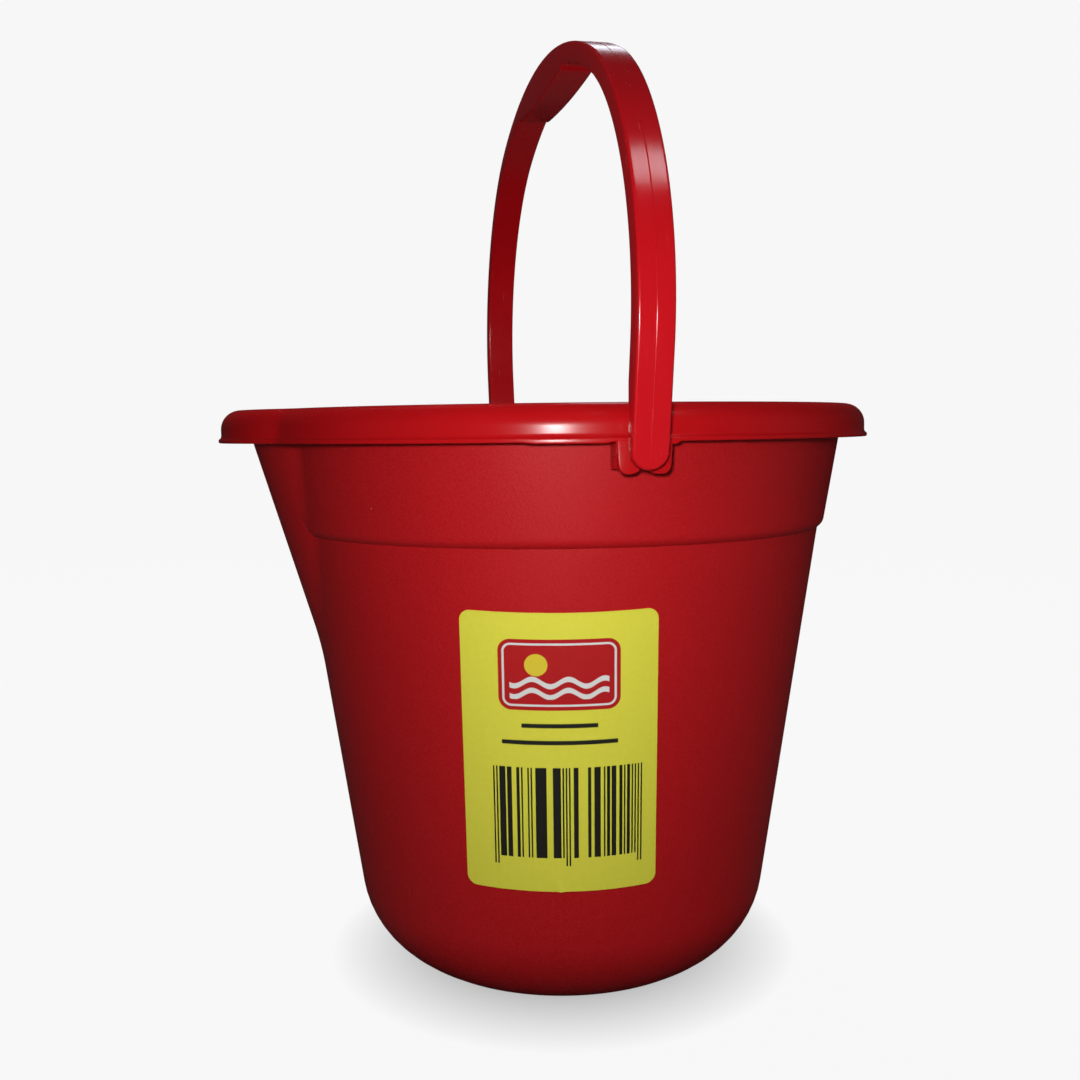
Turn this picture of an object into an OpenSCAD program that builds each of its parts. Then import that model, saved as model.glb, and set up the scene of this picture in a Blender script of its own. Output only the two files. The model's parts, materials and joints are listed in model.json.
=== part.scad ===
// Small moulded bucket with a pouring spout, a swinging bail handle and a label.
// Origin: centre of the flat base. +Z up, spout towards -X, handle pivots on the Y axis.

/* [Body] */
// Height of the rim's flat top above the ground
body_h = 131.5; // [126:0.5:140]
// Radius over the rim's lower lip
lip_r = 72; // [70:0.5:75]
// Depth of the rim, from its flat top down to the lip
rim_h = 7.3; // [6.5:0.1:9]
// How far the lip stands out past the wall
rim_overhang = 6.2; // [5.5:0.1:7]
// Radius of the rim's rounded shoulder
rim_round = 4.3; // [3:0.1:5]
// How far the bead along the lip stands proud of the skirt
bead_out = 0.6; // [0.3:0.1:1]
// Height of that bead
bead_h = 1.1; // [0.6:0.1:1.6]
// Wall thickness
wall = 1.2; // [1:0.05:1.6]
// Slope of the lower wall from the vertical, degrees
draft = 8.3; // [7.5:0.1:9]
// Height of the step where the wider upper band starts
band_z = 103.7; // [98:0.5:108]
// Slope of the upper band from the vertical, degrees
band_draft = 9.5; // [9:0.1:10]
// How far the upper band stands proud of the lower wall
band_step = 1.15; // [0.8:0.05:1.5]
// Height over which the band's lower edge turns out
band_turn = 2.2; // [1.5:0.1:3]
// Radius of the rounding between the wall and the base
base_round = 22; // [16:0.5:24]

/* [Spout] */
// Distance of the spout's nose line from the axis, at the lip's height
nose_r = 71.4; // [70:0.2:73]
// Slope of the nose line from the vertical, degrees
nose_slope = 16.5; // [15.5:0.1:17.5]
// Distance of the spout cone's upright rear line from the axis
nose_rear = 5.7; // [4:0.1:8]
// Reach of the rim's lip at the tip of the spout, from the axis
tip_r = 79; // [78:0.2:80]
// Radius of the spout's lip, seen from above
tip_round = 38; // [36:0.5:40]

/* [Handle] */
// Height of the top of the handle
handle_top = 211.5; // [208:0.5:216]
// Width of the strap, along the direction of swing
strap_w = 7; // [6.5:0.1:7.6]
// Thickness of the strap
strap_t = 4.3; // [3.8:0.1:5]
// Distance of the legs' inner faces from the axis, beside the rim
leg_in = 73.2; // [73:0.1:74]
// Thickness of the strap at its lower ends
end_t = 2.3; // [1.8:0.1:2.6]
// Outward lean of the legs from the vertical, degrees
lean = 9.5; // [8.5:0.1:10.5]
// Outer radius of the handle's shoulders
shoulder_r = 57; // [55:0.5:59]
// Outer radius of its crown
crown_r = 113.5; // [110:0.5:118]
// Length of the palm grip under the crown
grip_len = 45; // [40:1:50]
// Depth of the handle at the middle of the grip
grip_t = 8.2; // [7.5:0.1:9]

/* [Pivots] */
// Height of the pivot axis below the lip
pivot_drop = 1.7; // [1.5:0.1:2]
// Radius of the pivot stud
stud_r = 1.5; // [1.3:0.05:1.6]
// Radial running clearance of the stud in its seat
stud_gap = 0.08; // [0.03:0.01:0.1]
// Radius and length of the stud's retaining head
head_r = 2.6; // [2.2:0.1:2.8]
head_l = 1.2; // [0.8:0.1:1.4]
// Width of the ear plate
ear_w = 10.8; // [10:0.1:12]
// How far the ear plate hangs below the lip
ear_drop = 6; // [5.6:0.1:6.4]
// Thickness of the ear plate
ear_t = 1.6; // [1.4:0.1:1.8]
// Radius of the ear plate's lower corners
ear_corner = 1.8; // [1:0.1:2]
// Width of the snap opening below the stud's seat
snap_w = 2.4; // [2.2:0.05:2.6]
// Thickness of the two ribs behind the ear plate
rib_t = 1; // [0.8:0.1:1.2]
// How far those ribs reach inwards from the lip
rib_reach = 4; // [3.4:0.1:4.6]

/* [Label] */
// Width of the label, around the wall
label_w = 40; // [36:1:44]
// Height of the label, along the wall
label_h = 60; // [50:1:64]
// Corner radius of the label
label_corner = 2.2; // [1:0.1:4]
// Thickness of the label
label_t = 0.15; // [0.1:0.05:0.3]
// Height of the label's middle above the ground
label_z = 61.7; // [58:0.1:64]
// Angle of the label's middle from the near pivot, towards the spout, degrees
label_turn = 13; // [0:0.5:30]

/* [Hidden] */
$fn = 96;
far = 200;
eps = 0.01;

// Heights and radii of the body
lip_z = body_h - rim_h;
wall_top_r = lip_r - rim_overhang + (body_h - lip_z) * tan(band_draft);
band_low_z = band_z + band_turn;
band_low_r = wall_top_r - (body_h - band_low_z) * tan(band_draft);
step_r = band_low_r - band_step - band_turn * tan(draft);

// Spout: a cone whose rear line is upright, so it leans by its own half angle
nose_tilt = nose_slope / 2;
nose_apex_z = lip_z - (nose_r - nose_rear) / tan(nose_slope);
nose_low_z = lip_z / 2;

// Handle outline, in the upright plane through both pivots
pivot_z = lip_z - pivot_drop;
leg_out = leg_in + end_t;
crown_z = handle_top - crown_r;
crown_offset = crown_r - shoulder_r;
leg_reach = leg_out * cos(lean) + (crown_z - pivot_z) * sin(lean) - shoulder_r;
crown_half = lean + asin(leg_reach / crown_offset);
corner_s = crown_offset * sin(crown_half);
corner_z = crown_z + crown_offset * cos(crown_half);
leg_top_s = corner_s + shoulder_r * cos(lean);
leg_top_z = corner_z - shoulder_r * sin(lean);
grip_z = handle_top - grip_t;
grip_ramp = 2.5;

// Gap left for the glue behind the label
glue_gap = 0.02;

// Small details: how much of the band's step is turned at its knee, how far the inner wall's corners
// sit above the outer ones for each unit of wall, and the chamfer along the lip's bead
knee = 0.3;
inner_rise = 0.6;
bead_edge = 0.3;

// Flare at the mouth of the snap opening, the ribs' height above the ear's edge, and the head's play
flare_w = 1;
flare_h = 1.4;
rib_low = 1;
head_play = 0.5;

// Outline of the cup from the axis to the wall, drawn inwards by t
module cup_section(t) {
    tangent_z = base_round * (1 - sin(draft));
    wall_r = step_r - (band_z - tangent_z) * tan(draft);
    centre_r = wall_r - base_round * cos(draft);
    inset = t / cos(draft);
    translate([centre_r, base_round]) circle(r = base_round - t);
    polygon([
        [0, t],
        [centre_r, t],
        [wall_r - t * cos(draft), tangent_z + t * sin(draft)],
        [step_r - inset, band_z + t * inner_rise],
        [band_low_r - knee * band_step - inset, band_z + knee * band_turn + t * inner_rise],
        [band_low_r - inset, band_low_z + t * inner_rise],
        [wall_top_r - inset, body_h + t],
        [0, body_h + t],
    ]);
}

module cup(t) {
    rotate_extrude() cup_section(t);
}

// Leaning cone of the spout, drawn inwards by t
module nose(t) {
    length = 2 * far;
    intersection() {
        translate([-nose_rear, 0, nose_apex_z]) rotate([0, -nose_tilt, 0])
            translate([0, 0, t / sin(nose_tilt)])
                cylinder(h = length, r1 = 0, r2 = length * tan(nose_tilt));
        translate([-far, -far / 2, nose_low_z]) cube([far, far, body_h - nose_low_z + t]);
    }
}

// Solid disc with the rim's outer shape, for a lip of radius r, drawn inwards by t
module rim_disc(r, t) {
    top = body_h - t;
    skirt = r - bead_out - t;
    turn = rim_round - t;
    rotate_extrude() {
        translate([skirt - turn, top - turn]) circle(r = turn);
        translate([0, lip_z - t]) square([skirt - turn, top - lip_z + t]);
        translate([0, lip_z - t]) square([skirt, top - turn - lip_z + t]);
        if (t == 0) translate([0, lip_z]) polygon([
            [0, 0],
            [r - bead_edge, 0],
            [r, bead_edge],
            [r, bead_h - bead_edge],
            [skirt, bead_h + bead_edge],
            [0, bead_h + bead_edge],
        ]);
    }
}

module rim(t) {
    rim_disc(lip_r, t);
    translate([tip_round - tip_r, 0, 0]) rim_disc(tip_round, t);
}

// Outline of one ear plate, seen along the pivot axis: x across, y is height from the pivot
module ear_outline() {
    low = lip_z - ear_drop - pivot_z;
    high = lip_z + bead_h / 2 - pivot_z;
    side = ear_w / 2;
    difference() {
        union() {
            translate([-side, low + ear_corner]) square([ear_w, high - low - ear_corner]);
            translate([-side + ear_corner, low]) square([ear_w - 2 * ear_corner, 2 * ear_corner]);
            for (x = [-1, 1]) translate([x * (side - ear_corner), low + ear_corner]) circle(r = ear_corner);
        }
        circle(r = stud_r + stud_gap);
        polygon([
            [-snap_w / 2, 0],
            [-snap_w / 2, low + flare_h],
            [-snap_w / 2 - flare_w, low - eps],
            [snap_w / 2 + flare_w, low - eps],
            [snap_w / 2, low + flare_h],
            [snap_w / 2, 0],
        ]);
    }
}

// Ear on the -Y side: a plate that carries on the lip's own curve, with a rib at each side
module ear() {
    low = lip_z - ear_drop;
    intersection() {
        rotate_extrude() translate([lip_r - ear_t, low - eps]) square([ear_t, ear_drop + bead_h]);
        translate([0, 0, pivot_z]) rotate([90, 0, 0]) linear_extrude(height = far) ear_outline();
    }
    for (x = [-1, 1]) {
        translate([x * (ear_w - rib_t) / 2 - rib_t / 2, -lip_r + ear_t / 2, low + rib_low])
            cube([rib_t, rib_reach - ear_t / 2, ear_drop + rim_h - rim_round]);
    }
}

module bucket_body() {
    color("firebrick") difference() {
        union() {
            difference() {
                rim(0);
                rim(wall);
            }
            cup(0);
            nose(0);
            for (turn = [0, 180]) rotate([0, 0, turn]) ear();
        }
        cup(wall);
        nose(wall);
        translate([0, 0, body_h]) cylinder(r = far, h = far);
    }
}

// Everything under the handle's curve, drawn inwards by t
module arch_area(t) {
    drop = far / 2;
    for (side = [0, 1]) mirror([side, 0]) {
        translate([corner_s, corner_z]) circle(r = shoulder_r - t);
        polygon([
            [0, corner_z],
            [corner_s, corner_z],
            [leg_top_s - t * cos(lean), leg_top_z + t * sin(lean)],
            [leg_top_s - t * cos(lean) - drop * tan(lean), leg_top_z + t * sin(lean) - drop],
            [0, leg_top_z - drop],
        ]);
    }
    intersection() {
        translate([0, crown_z]) circle(r = crown_r - t);
        polygon([
            [0, crown_z],
            [-far * tan(crown_half), crown_z + far],
            [far * tan(crown_half), crown_z + far],
        ]);
    }
}

// Side view of the strap: s is the distance from the axis, z the height
module strap_outline() {
    difference() {
        arch_area(0);
        difference() {
            arch_area(strap_t);
            polygon([
                [-grip_len / 2 - grip_ramp, grip_z + grip_ramp], [-grip_len / 2, grip_z],
                [grip_len / 2, grip_z], [grip_len / 2 + grip_ramp, grip_z + grip_ramp],
                [0, handle_top],
            ]);
        }
        translate([-leg_in, 0]) square([2 * leg_in, leg_top_z]);
    }
}

module stud() {
    head_s = lip_r - ear_t - head_play;
    tip_s = leg_in + end_t / 2;
    translate([0, -head_s, pivot_z]) rotate([90, 0, 0]) cylinder(r = stud_r, h = tip_s - head_s);
    translate([0, -head_s, pivot_z]) rotate([-90, 0, 0]) cylinder(r1 = head_r, r2 = stud_r, h = head_l);
}

module bail_handle() {
    color("crimson") {
        intersection() {
            rotate([90, 0, 90]) linear_extrude(height = strap_w, center = true) strap_outline();
            union() {
                translate([-far / 2, -far / 2, pivot_z]) cube(far);
                translate([0, 0, pivot_z]) rotate([90, 0, 0]) cylinder(r = strap_w / 2, h = far, center = true);
            }
        }
        for (turn = [0, 180]) rotate([0, 0, turn]) stud();
    }
}

module label() {
    color("khaki") intersection() {
        difference() {
            cup(-glue_gap - label_t);
            cup(-glue_gap);
        }
        rotate([0, 0, -label_turn]) translate([0, 0, label_z]) rotate([90 + draft, 0, 0])
            linear_extrude(height = far) {
                square([label_w - 2 * label_corner, label_h], center = true);
                square([label_w, label_h - 2 * label_corner], center = true);
                for (x = [-1, 1], y = [-1, 1])
                    translate([x * (label_w / 2 - label_corner), y * (label_h / 2 - label_corner)])
                        circle(r = label_corner);
            }
    }
}

bucket_body();
bail_handle();
label();
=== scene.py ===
import json
import math

import bmesh
import bpy
import numpy as np
from mathutils import Matrix, Vector


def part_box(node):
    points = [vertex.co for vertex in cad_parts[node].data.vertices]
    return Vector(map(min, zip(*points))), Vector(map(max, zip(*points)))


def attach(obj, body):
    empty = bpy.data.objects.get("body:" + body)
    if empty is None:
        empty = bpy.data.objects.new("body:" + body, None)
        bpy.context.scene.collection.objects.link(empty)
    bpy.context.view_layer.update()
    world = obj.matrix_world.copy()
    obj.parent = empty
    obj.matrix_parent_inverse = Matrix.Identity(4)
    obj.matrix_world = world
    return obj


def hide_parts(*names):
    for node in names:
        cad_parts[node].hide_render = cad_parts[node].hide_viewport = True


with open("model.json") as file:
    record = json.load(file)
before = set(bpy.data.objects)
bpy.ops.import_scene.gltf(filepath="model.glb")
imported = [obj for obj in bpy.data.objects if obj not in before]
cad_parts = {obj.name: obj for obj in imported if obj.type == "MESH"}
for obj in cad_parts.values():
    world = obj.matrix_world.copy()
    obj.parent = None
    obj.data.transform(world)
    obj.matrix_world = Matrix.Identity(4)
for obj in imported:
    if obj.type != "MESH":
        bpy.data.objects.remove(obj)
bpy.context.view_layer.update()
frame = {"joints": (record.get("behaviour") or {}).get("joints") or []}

# A small red beach bucket with a pouring spout, a snap-in bail handle and a yellow label on its wall.
# Its shapes are worked out in millimetres, and scaled to metres as they become meshes.
MM = 0.001

# ---------------------------------------------------------------- driving dimensions, from the frame
body_low, body_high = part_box("bucket_body")
handle_low, handle_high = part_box("bail_handle")
BODY_H = round(body_high.z / MM, 1)
LIP_R = round(body_high.x / MM, 1)
TIP_R = round(-body_low.x / MM, 1)
HANDLE_TOP = round(2 * handle_high.z / MM) / 2
STRAP_W = round((handle_high.x - handle_low.x) / MM, 1)
PIVOT_Z = frame["joints"][0]["pos_m"][2] / MM

# ---------------------------------------------------------------- named sizes of the body
WALL = 1.2

# Rim: a hollow roll with a beaded lip at its lower edge
RIM_H = 7.3
LIP_Z = BODY_H - RIM_H
RIM_OVERHANG = 6.2
RIM_ROUND = 4.3
BEAD_OUT = 0.6
SKIN = 1.2

# Wall: a cone up to the band, a rounded step out to the band, and a wider cone from there
DRAFT = math.radians(8.3)
BAND_DRAFT = math.radians(9.5)
BAND_Z = 103.7
BAND_TURN = 2.2
BAND_STEP = 1.15
STEP_SHARPNESS = 3.0
BASE_ROUND = 22.0
WALL_TOP_R = LIP_R - RIM_OVERHANG + RIM_H * math.tan(BAND_DRAFT)
BAND_LOW_R = WALL_TOP_R - (BODY_H - BAND_Z - BAND_TURN) * math.tan(BAND_DRAFT)
STEP_R = BAND_LOW_R - BAND_STEP - BAND_TURN * math.tan(DRAFT)
BASE_TOP_Z = BASE_ROUND * (1 - math.sin(DRAFT))
BASE_FLAT_R = STEP_R - (BAND_Z - BASE_TOP_Z) * math.tan(DRAFT) - BASE_ROUND * math.cos(DRAFT)

# Spout: its nose line, the upright line at its rear, and the disc that shapes its lip
NOSE_R = 71.4
NOSE_SLOPE = math.radians(16.5)
NOSE_REAR = 5.7
NOSE_FROM_Z = 58.0
TIP_ROUND = 38.0
WALL_CREASE = 0.8
LIP_CREASE = 0.8

# The band ends beside the spout, this far round from its middle, in a rounded corner
CORNER_AT = math.radians(16.3)
CORNER_R = 3.0

# Where rows of the wall's grid lie closer together, and the stretch over which they follow the band's corner
SPOUT_ROWS_Z = 66.0
PLAIN_BAND_Z = 112.0
NEAR_STEP = 3.0
FOLLOW_TOP_Z = 120.0

# The lip hangs lower from the ear's back edge to the pivot, and along a stretch in front of the ear
HANG_BACK_X, HANG_BACK = 6.9, 0.55
HANG_FRONT_X, HANG_START_X, HANG_FRONT = -6.3, -22.0, 0.25
HANG_CHAMFER, HANG_START_CHAMFER = 0.7, 1.5

# Underside: the dimple where the mould's gate was
GATE_DEPTH = 0.45

# How polished each surface is, from the grained wall to the rim
GRAINED, UNDERSIDE, INSIDE, CHANNEL_EDGE, CHANNEL, EAR_POLISH, POLISHED = 0, 0.3, 0.35, 0.5, 0.6, 0.9, 1

# Columns of the body's grid, closer together over the spout and beside the pivots
COLUMNS = 560
SPOUT_HALF, SPOUT_DENSITY, SPOUT_FADE = math.radians(27), 2.4, 25
PIVOT_HALF, PIVOT_DENSITY, PIVOT_FADE = math.radians(7.5), 3.0, 60


def column_angles():
    """Angles round the bucket, counted from +X, with the spout at the middle of the list."""
    fine = np.linspace(0, 2 * math.pi, 7201)
    off_spout = np.abs(fine - math.pi)
    off_pivot = np.abs(off_spout - math.pi / 2)
    density = 1 + (SPOUT_DENSITY - 1) / (1 + np.exp((off_spout - SPOUT_HALF) * SPOUT_FADE))
    density += (PIVOT_DENSITY - 1) / (1 + np.exp((off_pivot - PIVOT_HALF) * PIVOT_FADE))
    total = np.concatenate([[0], np.cumsum((density[1:] + density[:-1]) / 2)])
    return np.interp(np.arange(COLUMNS) / COLUMNS, total / total[-1], fine)


ANGLES = column_angles()
OFF_SPOUT = np.abs(ANGLES - math.pi)


def smooth_max(a, b, k):
    """The larger of a and b, with the crease between them filled over a width of k."""
    h = np.clip(k - np.abs(a - b), 0, None) / k
    return np.maximum(a, b) + h * h * k / 4


def smooth_min(a, b, k):
    """The smaller of a and b, with the same kind of fillet."""
    return -smooth_max(-a, -b, k)


def disc_reach(centre, radius):
    """How far a circle centred that far along -X reaches from the axis, at each column."""
    under = radius**2 - (centre * np.sin(OFF_SPOUT)) ** 2
    seen = (under > 0) & (np.cos(OFF_SPOUT) > 0)
    return np.where(seen, centre * np.cos(OFF_SPOUT) + np.sqrt(np.maximum(under, 0)), 0)


def corner_rise():
    """How far the band's lower edge turns up, beside the spout, into a rounded corner."""
    beside = np.clip((OFF_SPOUT - CORNER_AT) * BAND_LOW_R, 0, CORNER_R)
    return CORNER_R - np.sqrt(CORNER_R**2 - (CORNER_R - beside) ** 2)


RISE = corner_rise()


def cup_radius(z):
    """Outer radius of the cup at height z, one value for each column."""
    z = np.broadcast_to(z, ANGLES.shape)
    in_base = np.clip(BASE_ROUND - z, 0, BASE_ROUND)
    base = BASE_FLAT_R + np.sqrt(BASE_ROUND**2 - in_base**2)
    lower = np.where(z < BASE_TOP_Z, base, STEP_R - (BAND_Z - z) * math.tan(DRAFT))
    band = WALL_TOP_R - (BODY_H - z) * math.tan(BAND_DRAFT)
    turn = np.clip((z - BAND_Z - RISE) / BAND_TURN, 0, 1)
    return lower + (band - lower) * (1 - (1 - turn) ** STEP_SHARPNESS)


def wall_reach(z):
    """Outer reach of the wall at height z, with the spout, one value for each column."""
    z = np.broadcast_to(z, ANGLES.shape)
    nose = NOSE_R - (LIP_Z - z) * math.tan(NOSE_SLOPE)
    spout = disc_reach((nose + NOSE_REAR) / 2, (nose - NOSE_REAR) / 2)
    spout = np.where(z > NOSE_FROM_Z, spout, 0)
    return smooth_max(cup_radius(z), spout, WALL_CREASE)


def lip_reach():
    """Outer reach of the lip, with the spout, one value for each column."""
    spout = disc_reach(TIP_R - TIP_ROUND, TIP_ROUND)
    return smooth_max(np.full(COLUMNS, LIP_R), spout, LIP_CREASE)


def ring(reach, z, inset):
    """Points round the bucket: the outline of that reach, moved inwards by inset along its own normals."""
    x, y = reach * np.cos(ANGLES), reach * np.sin(ANGLES)
    along_x, along_y = np.roll(x, -1) - np.roll(x, 1), np.roll(y, -1) - np.roll(y, 1)
    length = np.hypot(along_x, along_y)
    x, y = x - inset * along_y / length, y + inset * along_x / length
    return np.stack([x, y, np.broadcast_to(z, ANGLES.shape)], 1)


def wall_ring(z, inset=0.0):
    """A ring on the outer face of the wall, or that far inside it."""
    return ring(wall_reach(z), z, inset)


LIP = lip_reach()


def lip_drop():
    """The lip hangs a little lower beside each ear, and ends there in a short chamfer."""
    x = LIP_R * np.cos(ANGLES)
    back = np.clip((HANG_BACK_X - x) / HANG_CHAMFER, 0, 1) * (x > 0)
    front = np.clip((HANG_FRONT_X - x) / HANG_CHAMFER, 0, 1)
    front = front * np.clip((x - HANG_START_X) / HANG_START_CHAMFER, 0, 1)
    near_pivots = np.abs(np.sin(ANGLES)) > 0.9
    return (HANG_BACK * back + HANG_FRONT * front) * near_pivots


DROP = lip_drop()


def lip_ring(z, inset, hang=0.0):
    """A ring on the lip. hang is the share of the ears' drop that it takes."""
    return ring(LIP, z - hang * DROP, inset)


def arc(start, stop, steps):
    """Angles from start to stop, given in degrees and returned in radians."""
    return np.radians(np.linspace(start, stop, steps))


def step_rows(low, high, spacing):
    """Even steps from low to high, about that far apart."""
    return np.linspace(low, high, max(2, round((high - low) / spacing) + 1))


def wall_rows(top):
    """Heights up the wall, close together where the spout leaves it and round the band's step."""
    rise = BAND_Z + BAND_TURN * np.linspace(0, 1, 12) ** 1.5
    return np.concatenate([
        step_rows(BASE_TOP_Z, SPOUT_ROWS_Z, 3.2)[1:],
        step_rows(SPOUT_ROWS_Z, BAND_Z - NEAR_STEP, 1.15)[1:],
        step_rows(BAND_Z - NEAR_STEP, BAND_Z - 0.25, 0.7)[1:],
        [BAND_Z - 0.08],
        rise,
        step_rows(rise[-1], PLAIN_BAND_Z, 0.8)[1:],
        step_rows(PLAIN_BAND_Z, top, 1.6)[1:],
    ])


def follow_corner(z):
    """Rows near the step turn up with its corner beside the spout."""
    below = np.clip((z - (BAND_Z - NEAR_STEP)) / NEAR_STEP, 0, 1)
    above = np.clip((FOLLOW_TOP_Z - z) / (FOLLOW_TOP_Z - BAND_Z - BAND_TURN), 0, 1)
    return z + RISE * (below * above)


def body_rings():
    """The whole skin of the body as rings, from the middle of its underside to the middle of its floor."""
    rings, polish = [], []

    def add(new, shine):
        rings.append(new)
        polish.append(shine)

    # underside, with the gate's shallow dimple, and the turn up into the wall
    dimple = [(0.9, GATE_DEPTH), (1.7, GATE_DEPTH), (2.0, 0.32), (2.3, 0.06), (2.7, 0)]
    for r, z in [*dimple, (8, 0), (16, 0), (23, 0)]:
        add(ring(np.full(COLUMNS, r), z, 0), UNDERSIDE)
    for a in arc(0, 90 - math.degrees(DRAFT), 15):
        r = BASE_FLAT_R + BASE_ROUND * math.sin(a)
        add(ring(np.full(COLUMNS, r), BASE_ROUND * (1 - math.cos(a)), 0), GRAINED)

    # outer wall, up into the channel under the rim
    roof = BODY_H - SKIN
    for z in wall_rows(roof - 0.5):
        add(wall_ring(follow_corner(z)), GRAINED)
    add(wall_ring(roof - 0.15, -0.12), CHANNEL_EDGE)
    over = RIM_ROUND + BEAD_OUT
    inner = RIM_ROUND - SKIN
    for a in arc(90, 0, 7):
        add(lip_ring(BODY_H - RIM_ROUND + inner * math.sin(a), over - inner * math.cos(a)), CHANNEL)

    # the lip: thin lower edge, bead, and a hollow flare up to the skirt
    for z, inset, hang in [
        (1.2, 1.8, 0.3), (0.14, 1.8, 1), (0.04, 1.76, 1), (0, 1.64, 1), (0, 0.9, 1), (0, 0.22, 1),
        (0.05, 0.08, 1), (0.16, 0.01, 1), (0.3, 0, 1), (0.62, 0, 0.5), (0.76, 0.03, 0.3), (0.86, 0.13, 0.2),
        (0.95, 0.28, 0), (1.1, 0.43, 0), (1.35, 0.55, 0), (1.7, 0.6, 0),
    ]:
        add(lip_ring(LIP_Z + z, inset, hang), POLISHED)

    # skirt and rounded shoulder, which ends in a faint edge on the flat top
    last = 82
    shoulder = RIM_ROUND / math.sin(math.radians(last))
    for a in arc(0, last, 13):
        z = BODY_H - RIM_ROUND + shoulder * math.sin(a)
        add(lip_ring(z, BEAD_OUT + shoulder * (1 - math.cos(a))), POLISHED)
    edge = 0.5
    for a in arc(90, 0, 5):
        add(wall_ring(BODY_H - edge + edge * math.sin(a), WALL + edge * (1 - math.cos(a))), POLISHED)

    # inner wall, down to the floor
    inset = WALL / math.cos(DRAFT)
    for z in wall_rows(BODY_H - 0.9)[::-1]:
        add(wall_ring(follow_corner(z), inset), INSIDE)
    for a in arc(90 - math.degrees(DRAFT), 0, 13):
        r = BASE_FLAT_R + (BASE_ROUND - WALL) * math.sin(a)
        add(ring(np.full(COLUMNS, r), BASE_ROUND - (BASE_ROUND - WALL) * math.cos(a), 0), INSIDE)
    for r in (20, 12, 5):
        add(ring(np.full(COLUMNS, r), WALL, 0), INSIDE)
    return rings, polish


def grid_mesh(name, rings, closing=None):
    """A mesh of quads between rings of the same count.

    Where two closing points are given, fans of triangles to them close its ends."""
    count = len(rings[0])
    points = np.concatenate([*rings, closing] if closing else rings) * MM
    faces = []
    for row in range(len(rings) - 1):
        low, high = row * count, (row + 1) * count
        faces += [(low + i, low + (i + 1) % count, high + (i + 1) % count, high + i) for i in range(count)]
    if closing:
        first, last = len(points) - 2, len(points) - 1
        top = (len(rings) - 1) * count
        faces += [(first, (i + 1) % count, i) for i in range(count)]
        faces += [(last, top + i, top + (i + 1) % count) for i in range(count)]
    mesh = bpy.data.meshes.new(name)
    mesh.from_pydata(points.tolist(), [], faces)
    return mesh


def add_mesh(bm, mesh):
    """Adds another mesh's shell to bm, and drops the mesh."""
    bm.from_mesh(mesh)
    bpy.data.meshes.remove(mesh)


# ---------------------------------------------------------------- flat plates that are bent into place


def corner(x, y, radius, start, stop, steps=7):
    """Points along a rounded corner: its centre, its radius, and the angles that it turns through."""
    return [(x + radius * math.cos(a), y + radius * math.sin(a)) for a in arc(start, stop, steps)]


def plate(outline, depth, spacing, bevel=0.0):
    """A plate of that outline in the XY plane, from 0 to depth, cut up so that it can be bent."""
    bm = bmesh.new()
    face = bm.faces.new([bm.verts.new((x, y, 0)) for x, y in outline])
    extruded = bmesh.ops.extrude_face_region(bm, geom=[face])
    top = [v for v in extruded["geom"] if isinstance(v, bmesh.types.BMVert)]
    bmesh.ops.translate(bm, verts=top, vec=(0, 0, depth))
    bmesh.ops.recalc_face_normals(bm, faces=bm.faces[:])
    if bevel:
        edges = [e for e in bm.edges if all(abs(v.co.z - depth) < 1e-6 for v in e.verts)]
        bmesh.ops.bevel(bm, geom=edges, offset=bevel, segments=3, profile=0.5, affect="EDGES")
    low = [min(v.co[i] for v in bm.verts) for i in (0, 1)]
    high = [max(v.co[i] for v in bm.verts) for i in (0, 1)]
    for axis in (0, 1):
        if not spacing[axis]:
            continue
        for at in step_rows(low[axis], high[axis], spacing[axis])[1:-1]:
            normal = Vector((1, 0, 0)) if axis == 0 else Vector((0, 1, 0))
            whole = bm.verts[:] + bm.edges[:] + bm.faces[:]
            bmesh.ops.bisect_plane(bm, geom=whole, plane_co=normal * at, plane_no=normal)
    return bm


def bent(name, bm, place):
    """Moves each point of a flat plate to place(x, y, depth), in millimetres, and returns the mesh."""
    for v in bm.verts:
        v.co = Vector(place(*v.co)) * MM
    bmesh.ops.recalc_face_normals(bm, faces=bm.faces[:])
    mesh = bpy.data.meshes.new(name)
    bm.to_mesh(mesh)
    bm.free()
    return mesh


# ---------------------------------------------------------------- ears
EAR_W = 10.8
EAR_HANG, EAR_LAP = 6.0, 0.45
EAR_LOW = LIP_Z - EAR_HANG - PIVOT_Z
EAR_TOP = LIP_Z + EAR_LAP - PIVOT_Z
EAR_T = 1.6
EAR_CORNER = 1.8
EAR_TAPER = 0.3
EAR_BEVEL = 0.3
RIB_T = 1.0

# The stud's seat, and where the sides of the snap opening meet it, with the rounding that each side ends in
SEAT_R = 1.58
SNAP_LEFT, SNAP_LEFT_R = -1.1, 3.0
SNAP_RIGHT, SNAP_RIGHT_R = 1.0, 1.4


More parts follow.
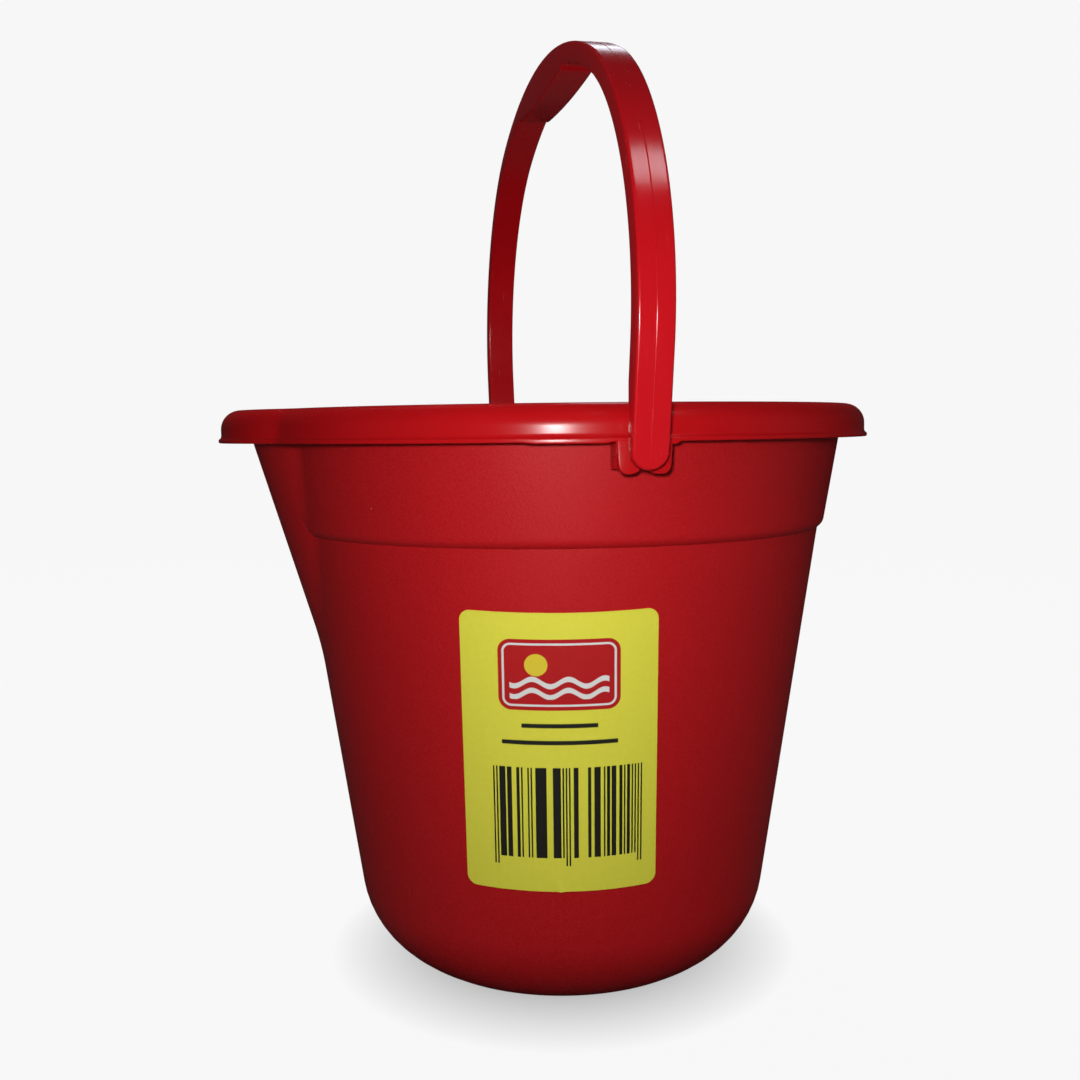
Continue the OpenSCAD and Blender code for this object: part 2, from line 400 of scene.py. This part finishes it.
def ear_outline():
    """Ear plate, flat, with the pivot at its origin: two lobes, with the snap opening between them."""
    side = EAR_W / 2
    lobe = side - EAR_TAPER - EAR_CORNER
    left_turn = 360 - math.degrees(math.acos((SNAP_LEFT + SNAP_LEFT_R) / SNAP_LEFT_R))
    seat_left = 360 - math.degrees(math.acos(SNAP_LEFT / SEAT_R))
    seat_right = -math.degrees(math.acos(SNAP_RIGHT / SEAT_R))
    return [
        (-side, EAR_TOP),
        *corner(-lobe, EAR_LOW + EAR_CORNER, EAR_CORNER, 180, 270),
        *corner(-SNAP_LEFT_R, EAR_LOW + SNAP_LEFT_R, SNAP_LEFT_R, 270, left_turn),
        *corner(0, 0, SEAT_R, seat_left, seat_right, 22),
        *corner(SNAP_RIGHT + SNAP_RIGHT_R, EAR_LOW + SNAP_RIGHT_R, SNAP_RIGHT_R, 180, 270),
        *corner(lobe, EAR_LOW + EAR_CORNER, EAR_CORNER, 270, 360),
        (side, EAR_TOP),
    ]


def ear_meshes(turn):
    """One ear plate on the lip's own curve, and the two ribs behind it. turn is 0 at the near pivot."""
    spin = Matrix.Rotation(turn, 3, "Z")

    def on_lip(x, y, depth):
        r = LIP_R - EAR_T + depth
        a = x / LIP_R
        return spin @ Vector((r * math.sin(a), -r * math.cos(a), PIVOT_Z + y))

    yield bent("ear", plate(ear_outline(), EAR_T, (0.9, 0), EAR_BEVEL), on_lip)
    foot, head = EAR_LOW + 1, BODY_H - 0.7 - PIVOT_Z
    rib = [(-3.0, foot), (-0.8, -0.5), (-0.8, 4.5), (-2.7, head), (-5.4, head), (-4.4, foot)]
    for middle in (-EAR_W / 2 + RIB_T / 2, EAR_W / 2 - RIB_T / 2):

        def across(x, y, depth, middle=middle):
            return spin @ Vector((middle - RIB_T / 2 + depth, -LIP_R - x, PIVOT_Z + y))

        yield bent("rib", plate(rib, RIB_T, (0, 0)), across)


# ---------------------------------------------------------------- pieces
SHARP_ANGLE = math.radians(35)


def finish_mesh(name, bm, material, body, node):
    """Turns bm into a piece that stands for its CAD node and rides on its body."""
    mesh = bpy.data.meshes.new(name)
    bm.to_mesh(mesh)
    bm.free()
    mesh.shade_smooth()
    mesh.set_sharp_from_angle(angle=SHARP_ANGLE)
    mesh.materials.append(material)
    piece = bpy.data.objects.new(name, mesh)
    bpy.context.scene.collection.objects.link(piece)
    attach(piece, body)
    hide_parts(node)


def add_body(material):
    """The cup with its rim and spout, and both ears."""
    rings, polish = body_rings()
    bm = bmesh.new()
    add_mesh(bm, grid_mesh("skin", rings, [(0, 0, GATE_DEPTH), (0, 0, WALL)]))
    shine = bm.verts.layers.float.new("polish")
    bm.verts.ensure_lookup_table()
    for row, value in enumerate(polish):
        for i in range(COLUMNS):
            bm.verts[row * COLUMNS + i][shine] = value
    before = len(bm.verts)
    for turn in (0, math.pi):
        for part in ear_meshes(turn):
            add_mesh(bm, part)
    bm.verts.ensure_lookup_table()
    for v in bm.verts[before:]:
        v[shine] = EAR_POLISH
    finish_mesh("bucket_shell", bm, material, "bucket", "bucket_body")


# ---------------------------------------------------------------- handle
# Its outer face is two leaning legs, a shoulder arc above each, and a crown arc that joins the shoulders
STRAP_T = 4.3
LEG_IN = 73.2
END_T = 2.3
LEG_OUT = LEG_IN + END_T
LEAN = math.radians(9.5)
SHOULDER_R = 57.0
CROWN_R = 113.5
CROWN_Z = HANDLE_TOP - CROWN_R
LEG_REACH = LEG_OUT * math.cos(LEAN) + (CROWN_Z - PIVOT_Z) * math.sin(LEAN) - SHOULDER_R
CROWN_HALF = LEAN + math.asin(LEG_REACH / (CROWN_R - SHOULDER_R))
SHOULDER_S = (CROWN_R - SHOULDER_R) * math.sin(CROWN_HALF)
SHOULDER_Z = CROWN_Z + (CROWN_R - SHOULDER_R) * math.cos(CROWN_HALF)
LEG_TOP_Z = SHOULDER_Z - SHOULDER_R * math.sin(LEAN)

# Palm grip: half its length, the bottom and the bulge of its underside, and how its ends curl up to the strap
GRIP_HALF = 22.5
GRIP_LOW = HANDLE_TOP - 8.5
GRIP_BULGE_R = 316.0
GRIP_CURL, GRIP_CURL_LEAD = 0.12, 1.5
GRIP_CREASE = 1.5

# The strap's section: its rounded edges, the seam on its outer face and the draft of its sides
OUTER_EDGE = 0.5
INNER_EDGE = 0.5
SEAM_HALF, SEAM_H = 0.028, 0.032
INNER_FLARE, OUTER_FLARE = 0.2, 0.05

# The strap's section turns square to its lean over this stretch above the pivot
SQUARE_FROM, SQUARE_OVER = 2.0, 10.0

# Stud: where it leaves the strap and ends, from the axis, its radius, and the sides of its rings
STUD_FROM, STUD_TO = 73.9, 68.7
STUD_R = 1.5
STUD_SIDES = 48


def leg_outer(z):
    """How far the outer face of a leg is from the axis at height z."""
    return LEG_OUT + (z - PIVOT_Z) * math.tan(LEAN)


def handle_stations():
    """Stations from one end of the handle to the other, as (outer s, inner s, outer z, inner z, turn).

    s is the distance from the axis, and turn is above 0 only in the round at a leg's end."""
    rows = []
    for a in arc(90, 0, 15)[:-1]:
        rows.append((leg_outer(PIVOT_Z), LEG_IN, PIVOT_Z, PIVOT_Z, a))
    for z in step_rows(PIVOT_Z, LEG_TOP_Z, 1.5):
        s = leg_outer(z)
        t = min(STRAP_T, (s - LEG_IN) / math.cos(LEAN))
        square = np.clip((z - PIVOT_Z - SQUARE_FROM) / SQUARE_OVER, 0, 1)
        rows.append((s, s - t * math.cos(LEAN), z, z + square * t * math.sin(LEAN), 0))
    inner = SHOULDER_R - STRAP_T
    for a in np.linspace(-LEAN, math.pi / 2 - CROWN_HALF, 46)[1:-1]:
        rows.append((
            SHOULDER_S + SHOULDER_R * math.cos(a), SHOULDER_S + inner * math.cos(a),
            SHOULDER_Z + SHOULDER_R * math.sin(a), SHOULDER_Z + inner * math.sin(a), 0,
        ))
    inner = CROWN_R - STRAP_T
    for a in np.linspace(CROWN_HALF, 0, 90):
        s = inner * math.sin(a)
        curl = GRIP_CURL * max(0, s - GRIP_HALF + GRIP_CURL_LEAD) ** 2
        pad = GRIP_LOW + s * s / (2 * GRIP_BULGE_R) + curl
        z = float(smooth_min(np.array(CROWN_Z + inner * math.cos(a)), np.array(pad), GRIP_CREASE))
        rows.append((CROWN_R * math.sin(a), s, CROWN_Z + CROWN_R * math.cos(a), z, 0))
    mirrored = [(-so, -si, zo, zi, a) for so, si, zo, zi, a in rows[-2::-1]]
    return rows + mirrored


def section_points():
    """Half of the strap's section, from the seam on its outer face to the middle of its inner face.

    Each point is (side, inset, depth, from_inner): side is 0 at the middle and 1 at the edge, inset is
    measured inwards from the strap's outline, and depth from the outer or the inner face. A depth below 0
    is the seam's ridge."""
    points = [(0, 0, -SEAM_H, False)]
    points += [(share, OUTER_EDGE, 0, False) for share in (SEAM_HALF, 0.06, 0.35, 0.7, 0.93, 1)]
    for a in arc(0, 90, 6)[1:]:
        points.append((1, OUTER_EDGE * (1 - math.sin(a)), OUTER_EDGE * (1 - math.cos(a)), False))
    for a in arc(90, 0, 5):
        points.append((1, INNER_EDGE * (1 - math.sin(a)), INNER_EDGE * (1 - math.cos(a)), True))
    points += [(share, INNER_EDGE, 0, True) for share in (0.93, 0.6, 0.3)]
    return points


def handle_loop(station):
    """One closed loop of points round the strap at a station, wider towards its inner face."""
    s_out, s_in, z_out, z_in, turn = station
    half = STRAP_W / 2
    plus = []
    for share, inset, depth, from_inner in section_points():
        flare = INNER_FLARE if from_inner else OUTER_FLARE
        x = share * (half + flare - inset) * math.cos(turn)
        down = (half - inset) * math.sin(turn)
        outer = np.array([leg_outer(z_out - down) if turn else s_out, z_out - down])
        inner = np.array([s_in, z_in - down])
        along = (inner - outer) / np.linalg.norm(inner - outer)
        if depth < 0:
            depth *= math.cos(turn)  # the seam fades out round the strap's end
        s, z = inner - along * depth if from_inner else outer + along * depth
        plus.append((x, -s, z))
    middle = (0, plus[-1][1], plus[-1][2])
    minus = [(-x, y, z) for x, y, z in plus[:0:-1]]
    return [*plus, middle, *minus]


def strap_loops():
    """The strap from end to end. The far end's round is a mirror image of the near end's."""
    stations = handle_stations()
    half_count = len(stations) // 2
    loops = []
    for i, station in enumerate(stations):
        if i <= half_count or not station[4]:
            loops.append(handle_loop(station))
        else:
            near = handle_loop(stations[len(stations) - 1 - i])
            loops.append([(x, -y, z) for x, y, z in near])
    return loops


def stud_rings(side):
    """Pivot stud with its retaining head, as rings round the pivot axis."""
    shaft = [(STUD_R, STUD_FROM), (STUD_R, 70.15)]
    head = [(1.56, 70.0), (1.75, 69.9), (2.4, 69.9), (2.55, 69.84), (2.6, 69.7), (2.52, 69.5)]
    tip = [(1.72, 68.85), (1.5, 68.72), (1.2, STUD_TO)]
    turns = np.linspace(0, 2 * math.pi, STUD_SIDES, endpoint=False)
    return [
        np.stack([r * np.cos(turns), np.full(STUD_SIDES, side * s), PIVOT_Z + r * np.sin(turns)], 1)
        for r, s in shaft + head + tip
    ]


def add_handle(material):
    """The strap with its palm grip, and both studs."""
    bm = bmesh.new()
    loops = [np.array(loop) for loop in strap_loops()]
    add_mesh(bm, grid_mesh("strap", loops))
    bmesh.ops.remove_doubles(bm, verts=bm.verts, dist=1e-6)
    for side in (-1, 1):
        ends = [(0, side * s, PIVOT_Z) for s in (STUD_FROM, STUD_TO)]
        add_mesh(bm, grid_mesh("stud", stud_rings(side), ends))
    bmesh.ops.recalc_face_normals(bm, faces=bm.faces[:])
    finish_mesh("bail", bm, material, "handle", "bail_handle")


# ---------------------------------------------------------------- label
LABEL_W, LABEL_H = 40.0, 60.0
LABEL_CORNER = 2.2
LABEL_T = 0.15
LABEL_Z = 61.4
LABEL_TURN = math.radians(13)
GLUE_GAP = 0.02

# Crease at the bottom: how far it stands out, half its width, how far up it goes, and its lean
CREASE_H, CREASE_HALF, CREASE_UP, CREASE_SLANT = 0.3, 0.7, 3.0, 0.55


def add_label(material):
    """A flat sticker wrapped on the cone of the wall, with a small crease at the bottom."""
    x, y, r = LABEL_W / 2 - LABEL_CORNER, LABEL_H / 2 - LABEL_CORNER, LABEL_CORNER
    outline = []
    for side, end, start in ((-1, -1, 180), (1, -1, 270), (1, 1, 0), (-1, 1, 90)):
        outline += corner(side * x, end * y, r, start, start + 90)
    bm = plate(outline, LABEL_T, (0.5, 1.0))
    flat = bm.loops.layers.uv.new("flat")
    for face in bm.faces:
        for loop in face.loops:
            loop[flat].uv = (loop.vert.co.x / LABEL_W + 0.5, loop.vert.co.y / LABEL_H + 0.5)
    middle_r = STEP_R - (BAND_Z - LABEL_Z) * math.tan(DRAFT)
    to_apex = middle_r / math.sin(DRAFT)

    def on_wall(x, y, depth):
        up = y + LABEL_H / 2
        off_crease = abs(x + CREASE_SLANT * up) / CREASE_HALF
        crease = CREASE_H * math.exp(-(off_crease**1.4)) * math.exp(-((up / CREASE_UP) ** 2))
        depth = depth + GLUE_GAP + crease
        slant = math.hypot(to_apex + y, x)
        a = math.atan2(x, to_apex + y) / math.sin(DRAFT) - LABEL_TURN
        r = slant * math.sin(DRAFT) + depth * math.cos(DRAFT)
        z = LABEL_Z + (slant - to_apex) * math.cos(DRAFT) - depth * math.sin(DRAFT)
        return (r * math.sin(a), -r * math.cos(a), z)

    mesh = bent("label_flat", bm, on_wall)
    bm = bmesh.new()
    add_mesh(bm, mesh)
    finish_mesh("wall_label", bm, material, "bucket", "label")


# ---------------------------------------------------------------- materials
PLASTIC_IOR = 1.49


class Tree:
    """Short names for building one material's nodes."""

    def __init__(self, name):
        self.material = bpy.data.materials.new(name)
        self.material.use_nodes = True
        self.nodes = self.material.node_tree.nodes
        self.links = self.material.node_tree.links
        self.shader = self.nodes["Principled BSDF"]
        self.place = self.node("ShaderNodeTexCoord").outputs["Object"]

    def node(self, kind, inputs=(), **settings):
        made = self.nodes.new(kind)
        for key, value in settings.items():
            setattr(made, key, value)
        for socket, value in dict(inputs).items():
            self.feed(made.inputs[socket], value)
        return made

    def feed(self, socket, value):
        if isinstance(value, bpy.types.NodeSocket):
            self.links.new(value, socket)
        else:
            socket.default_value = value

    def math(self, operation, a, b=0.0, clamp=False):
        made = self.node("ShaderNodeMath", {0: a, 1: b}, operation=operation, use_clamp=clamp)
        return made.outputs[0]

    def plus(self, a, b):
        return self.math("ADD", a, b)

    def minus(self, a, b, clamp=False):
        return self.math("SUBTRACT", a, b, clamp)

    def times(self, a, b, clamp=False):
        return self.math("MULTIPLY", a, b, clamp)

    def noise(self, scale, detail=2.0, rough=0.5, place=None):
        inputs = {"Vector": place or self.place, "Scale": scale, "Detail": detail, "Roughness": rough}
        return self.node("ShaderNodeTexNoise", inputs).outputs["Fac"]

    def stretched(self, x, y, z):
        """Object coordinates, squeezed so that a noise comes out longer along an axis."""
        return self.node("ShaderNodeMapping", {"Vector": self.place, "Scale": (x, y, z)}).outputs[0]

    def ramp(self, value, low, high, to_low=0.0, to_high=1.0):
        inputs = {0: value, 1: low, 2: high, 3: to_low, 4: to_high}
        return self.node("ShaderNodeMapRange", inputs, clamp=True).outputs[0]

    def mix(self, factor, a, b):
        made = self.node("ShaderNodeMix", data_type="RGBA")
        self.feed(made.inputs["Factor"], factor)
        self.feed(made.inputs[6], a)
        self.feed(made.inputs[7], b)
        return made.outputs[2]

    def bump(self, height, distance, strength=1.0, normal=None):
        inputs = {"Height": height, "Distance": distance, "Strength": strength}
        if normal:
            inputs["Normal"] = normal
        return self.node("ShaderNodeBump", inputs).outputs[0]

    def finish(self, colour, roughness, normal):
        self.feed(self.shader.inputs["Base Color"], colour)
        self.feed(self.shader.inputs["Roughness"], roughness)
        self.feed(self.shader.inputs["Normal"], normal)
        return self.material


def grey(value):
    return (value, value, value, 1)


def body_plastic():
    """Red polypropylene: spark-eroded grain on the walls, polished on the rim."""
    t = Tree("body_plastic")
    polish = t.node("ShaderNodeAttribute", attribute_name="polish").outputs["Fac"]
    matte = t.minus(1.0, polish, clamp=True)

    grain = t.noise(2600, 2, 0.6)
    speckle = t.ramp(t.noise(2500, 2, 0.6), 0.34, 0.66)
    dust = t.ramp(t.noise(420, 2, 0.5), 0.80, 0.83)
    cloud = t.noise(38, 3, 0.55)
    streak = t.noise(60, 2, 0.5, t.stretched(1, 1, 0.12))
    scuff = t.ramp(t.noise(160, 4, 0.7, t.stretched(1, 1, 2.5)), 0.66, 0.78)

    base = t.mix(cloud, (0.43, 0.0042, 0.0062, 1), (0.50, 0.0058, 0.0086, 1))
    base = t.mix(t.times(t.times(speckle, matte), 0.36), base, (0.60, 0.020, 0.027, 1))
    base = t.mix(t.times(scuff, 0.08), base, (0.62, 0.08, 0.08, 1))
    base = t.mix(t.times(dust, 0.45), base, (0.75, 0.42, 0.38, 1))

    rough_wall = t.ramp(grain, 0.3, 0.75, 0.40, 0.58)
    rough_rim = t.ramp(cloud, 0.3, 0.7, 0.23, 0.27)
    rough = t.plus(t.times(rough_wall, matte), t.times(rough_rim, polish))
    rough = t.plus(rough, t.times(scuff, 0.08))

    normal = t.bump(grain, 0.00010, t.ramp(matte, 0, 1, 0.02, 0.4))
    normal = t.bump(streak, 0.0005, 0.08, normal)
    t.shader.inputs["IOR"].default_value = PLASTIC_IOR
    t.shader.inputs["Specular IOR Level"].default_value = 0.25
    return t.finish(base, rough, normal)


def handle_plastic():
    """The same plastic from a polished mould: glossy, with sink waves and fine handling scratches."""
    t = Tree("handle_plastic")
    cloud = t.noise(70, 3, 0.5)
    waves = t.noise(110, 1, 0.4)
    hair = t.ramp(t.noise(420, 3, 0.6, t.stretched(3.0, 1, 0.25)), 0.64, 0.72)
    fine = t.noise(1500, 2, 0.5)
    base = t.mix(cloud, (0.52, 0.0052, 0.0095, 1), (0.58, 0.0070, 0.0130, 1))
    base = t.mix(t.times(hair, 0.12), base, (0.7, 0.12, 0.13, 1))
    rough = t.plus(t.ramp(cloud, 0.3, 0.7, 0.15, 0.24), t.times(hair, 0.12))
    normal = t.bump(fine, 0.00002, 0.25)
    normal = t.bump(hair, 0.00002, 0.3, normal)
    normal = t.bump(waves, 0.0006, 0.18, normal)
    t.shader.inputs["IOR"].default_value = PLASTIC_IOR
    return t.finish(base, rough, normal)


# ---------------------------------------------------------------- the label's print
PRINT_SOFT = 0.05
RED, WHITE, INK = (0.50, 0.010, 0.012, 1), (0.80, 0.79, 0.76, 1), (0.016, 0.015, 0.012, 1)
SUN_YELLOW = (0.80, 0.62, 0.04, 1)

# Emblem: its panel, how far inside the edge its white line and its field begin, its sun and its waves
EMBLEM_Z = 78.6
EMBLEM_HALF_W, EMBLEM_HALF_H, EMBLEM_CORNER = 12.2, 7.4, 2.6
LINE_FROM, LINE_TO, FIELD_FROM = 0.8, 1.25, 2.3
SUN_X, SUN_UP, SUN_R = -4.6, 2.1, 2.3
WAVE_LENGTH, WAVE_SWING, WAVE_HALF = 7.2, 0.75, 0.55
WAVES_DOWN = (1.6, 3.9)

# Rules: the height and the width of each
RULES = ((67.9, 15.3), (64.3, 23.4))
RULE_HALF, RULE_CORNER = 0.45, 0.1

# Bars: modules of equal width from the left, with guards of three modules
BARS_LEFT, MODULES, MODULE_W = -13.7, 95, 0.321
GUARD = 3
BARS_TOP_Z, BARS_FOOT_Z, GUARDS_FOOT_Z = 58.9, 39.0, 37.2


class Print(Tree):
    """A printed material. x and y are millimetres from the middle of the label, laid flat."""

    def __init__(self, name):
        super().__init__(name)
        flat = self.node("ShaderNodeUVMap", uv_map="flat").outputs[0]
        split = self.node("ShaderNodeSeparateXYZ", {0: flat}).outputs
        self.x = self.times(self.minus(split[0], 0.5), LABEL_W)
        self.y = self.times(self.minus(split[1], 0.5), LABEL_H)

    def inside(self, distance):
        """1 where a signed distance is below 0."""
        return self.ramp(distance, -PRINT_SOFT, PRINT_SOFT, 1, 0)

    def length(self, x, y):
        return self.math("SQRT", self.plus(self.times(x, x), self.times(y, y)))

    def box(self, cx, cy, half_w, half_h, radius):
        """Signed distance to a rectangle with rounded corners."""
        dx = self.minus(self.math("ABSOLUTE", self.minus(self.x, cx)), half_w - radius)
        dy = self.minus(self.math("ABSOLUTE", self.minus(self.y, cy)), half_h - radius)
        out = self.length(self.math("MAXIMUM", dx, 0), self.math("MAXIMUM", dy, 0))
        within = self.math("MINIMUM", self.math("MAXIMUM", dx, dy), 0)
        return self.minus(self.plus(out, within), radius)

    def disc(self, cx, cy, radius):
        """Signed distance to a disc."""
        return self.minus(self.length(self.minus(self.x, cx), self.minus(self.y, cy)), radius)

    def wave(self, cy, half_h):
        """Signed distance, measured upright, to a wavy stripe."""
        swing = self.times(self.math("SINE", self.times(self.x, 2 * math.pi / WAVE_LENGTH)), WAVE_SWING)
        off = self.math("ABSOLUTE", self.minus(self.minus(self.y, swing), cy))
        return self.minus(off, half_h)


def with_emblem(t, colour):
    """A red panel with a white line inside its edge, a sun and two waves."""
    middle = EMBLEM_Z - LABEL_Z
    panel = t.box(0, middle, EMBLEM_HALF_W, EMBLEM_HALF_H, EMBLEM_CORNER)
    colour = t.mix(t.inside(panel), colour, RED)
    line = t.times(t.inside(t.plus(panel, LINE_FROM)), t.minus(1.0, t.inside(t.plus(panel, LINE_TO))))
    colour = t.mix(line, colour, WHITE)
    field = t.inside(t.plus(panel, FIELD_FROM))
    sun = t.inside(t.disc(SUN_X, middle + SUN_UP, SUN_R))
    colour = t.mix(t.times(sun, field), colour, SUN_YELLOW)
    for down in WAVES_DOWN:
        wave = t.inside(t.wave(middle - down, WAVE_HALF))
        colour = t.mix(t.times(wave, field), colour, WHITE)
    return colour


def printed_bars(t):
    """Random bars that say nothing, with longer pairs at both ends and in the middle."""
    module = t.math("FLOOR", t.math("DIVIDE", t.minus(t.x, BARS_LEFT), MODULE_W))
    dice = t.node("ShaderNodeTexWhiteNoise", {"W": t.plus(module, 0.5)}, noise_dimensions="1D")
    middle, last = MODULES // 2, MODULES - 1
    past_guard = GUARD - 0.5
    after_first = t.math("GREATER_THAN", module, past_guard)
    before_last = t.math("LESS_THAN", module, last - past_guard)
    off_middle = t.math("GREATER_THAN", t.math("ABSOLUTE", t.minus(module, middle)), past_guard)
    dark = t.math("GREATER_THAN", dice.outputs["Value"], 0.5)
    bars = t.times(t.times(dark, t.times(after_first, before_last)), off_middle)
    guards = 0.0
    for at in (0, 2, middle - 1, middle + 1, last - 2, last):
        guards = t.plus(guards, t.math("COMPARE", module, at))
    bars = t.times(bars, t.math("GREATER_THAN", t.y, BARS_FOOT_Z - LABEL_Z))
    guards = t.times(guards, t.math("GREATER_THAN", t.y, GUARDS_FOOT_Z - LABEL_Z))
    below_top = t.math("LESS_THAN", t.y, BARS_TOP_Z - LABEL_Z)
    return t.times(t.math("MAXIMUM", bars, guards), below_top, clamp=True)


def label_film():
    """Yellow film with a soft sheen, printed with the emblem, two rules and a row of bars."""
    t = Print("label_film")
    paper = t.noise(900, 2, 0.5)
    yellow = t.mix(paper, (0.79, 0.75, 0.060, 1), (0.85, 0.81, 0.076, 1))
    colour = with_emblem(t, yellow)
    for z, width in RULES:
        rule = t.box(0, z - LABEL_Z, width / 2, RULE_HALF, RULE_CORNER)
        colour = t.mix(t.inside(rule), colour, INK)
    colour = t.mix(printed_bars(t), colour, INK)

    rough = t.ramp(paper, 0.3, 0.7, 0.34, 0.44)
    normal = t.bump(paper, 0.00003, 0.3)
    normal = t.bump(t.noise(90, 2, 0.5), 0.0005, 0.12, normal)
    return t.finish(colour, rough, normal)


# ---------------------------------------------------------------- stage, light and camera
# How pale the floor and the background look, and the painted shadow that darkens the floor's glow round the
# base
PALE = 0.93
PAINTED_SHADOW_LEVEL, PAINTED_SHADOW_REACH = 0.45, 30.0
FLOOR_REACH = 6.0

# How much the background lights the surfaces, how much it shows in them, and the tints of two lamps
AMBIENT, AMBIENT_MIRRORED = 0.07, 0.02
BLUISH, SKY_BLUE = (0.95, 0.95, 1.0), (0.80, 0.90, 1.0)

# The camera's lens in millimetres, its place in metres and its angles in degrees
LENS, SENSOR_W, NEAREST = 39.55, 36, 0.01
CAMERA_PLACE = (-0.06415, -0.28010, 0.12715)
CAMERA_HEADING, CAMERA_DOWN, CAMERA_ROLL = -12.006, 5.466, -0.665


def floor_material():
    """Pale matt floor, which glows where it is seen directly, with a painted shadow round the base, and shows
    only faintly in reflections.
    """
    t = Tree("floor_pale")
    ray = t.node("ShaderNodeLightPath").outputs
    seen = ray["Is Camera Ray"]
    tone = t.mix(t.noise(6, 3, 0.5), grey(0.15), grey(0.17))
    tone = t.mix(ray["Is Glossy Ray"], tone, grey(0.05))
    tone = t.mix(seen, tone, grey(0.01))
    reach = t.node("ShaderNodeVectorMath", {0: t.place}, operation="LENGTH").outputs["Value"]
    # Painted shadow: the floor's glow is dimmed in a ring round the base by distance from the middle, not by
    # any lamp
    painted_shadow = t.ramp(reach, BASE_FLAT_R * MM, (BASE_FLAT_R + PAINTED_SHADOW_REACH) * MM, PAINTED_SHADOW_LEVEL, 1)
    t.shader.inputs["Emission Color"].default_value = (1, 1, 1, 1)
    t.feed(t.shader.inputs["Emission Strength"], t.times(t.times(seen, painted_shadow), PALE))
    t.shader.inputs["Specular IOR Level"].default_value = 0.1
    return t.finish(tone, 0.9, t.bump(t.noise(500, 2, 0.5), 0.0001, 0.05))


def add_floor():
    """The floor, which isn't a part of the object."""
    mesh = bpy.data.meshes.new("floor")
    corners = [(x * FLOOR_REACH, y * FLOOR_REACH, 0) for x, y in ((-1, -1), (1, -1), (1, 1), (-1, 1))]
    mesh.from_pydata(corners, [], [(0, 1, 2, 3)])
    mesh.materials.append(floor_material())
    floor = bpy.data.objects.new("floor", mesh)
    bpy.context.scene.collection.objects.link(floor)


def add_light(name, place, aim, size, power, colour=(1, 1, 1), mirrored=True):
    """A disk lamp, in metres and watts. One that isn't mirrored shows in no reflection."""
    lamp = bpy.data.lights.new(name, "AREA")
    lamp.shape = "DISK"
    lamp.size = size
    lamp.energy = power
    lamp.color = colour
    light = bpy.data.objects.new(name, lamp)
    light.location = place
    light.visible_camera = False
    light.visible_glossy = mirrored
    light.rotation_euler = (Vector(aim) - Vector(place)).to_track_quat("-Z", "Y").to_euler()
    bpy.context.scene.collection.objects.link(light)


def add_world():
    """A pale background, which lights the surfaces a little and shows only faintly in reflections."""
    world = bpy.data.worlds.new("studio")
    world.use_nodes = True
    bpy.context.scene.world = world
    nodes, links = world.node_tree.nodes, world.node_tree.links
    shade = nodes["Background"]
    ray = nodes.new("ShaderNodeLightPath").outputs
    light, strength = nodes.new("ShaderNodeMapRange"), nodes.new("ShaderNodeMapRange")
    light.inputs["To Min"].default_value = AMBIENT
    light.inputs["To Max"].default_value = AMBIENT_MIRRORED
    strength.inputs["To Max"].default_value = PALE
    links.new(ray["Is Glossy Ray"], light.inputs["Value"])
    links.new(light.outputs[0], strength.inputs["To Min"])
    links.new(ray["Is Camera Ray"], strength.inputs["Value"])
    links.new(strength.outputs[0], shade.inputs["Strength"])
    shade.inputs["Color"].default_value = (1, 1, 1, 1)


def add_camera():
    """A camera that stands where the photograph was taken from."""
    camera = bpy.data.cameras.new("camera")
    camera.lens = LENS
    camera.sensor_width = SENSOR_W
    camera.clip_start = NEAREST
    holder = bpy.data.objects.new("camera", camera)
    heading = Matrix.Rotation(math.radians(CAMERA_HEADING), 4, "Z")
    pitch = Matrix.Rotation(math.radians(90 - CAMERA_DOWN), 4, "X")
    roll = Matrix.Rotation(math.radians(CAMERA_ROLL), 4, "Z")
    holder.matrix_world = Matrix.Translation(CAMERA_PLACE) @ heading @ pitch @ roll
    bpy.context.scene.collection.objects.link(holder)
    bpy.context.scene.camera = holder


add_camera()
add_floor()
add_world()
add_light("key", (-0.051, -0.214, 0.136), (0, -0.05, 0.09), 0.012, 0.222)
add_light("overhead", (0.176, -0.361, 0.670), (0, -0.07, 0.17), 0.15, 0.36, BLUISH)
add_light("crown_light", (0.26, 0.75, 0.79), (0, -0.05, 0.20), 0.14, 0.22, SKY_BLUE)
add_light("left_fill", (-0.55, -0.25, 0.20), (0, 0, 0.10), 0.5, 0.22, mirrored=False)
add_light("right_fill", (0.60, -0.20, 0.20), (0, 0, 0.10), 0.5, 0.38, mirrored=False)
add_light("back_fill", (-0.085, 0.54, 0.75), (0, 0, 0.08), 0.4, 5.0, mirrored=False)
bpy.context.scene.view_settings.view_transform = "Standard"

add_body(body_plastic())
add_handle(handle_plastic())
add_label(label_film())
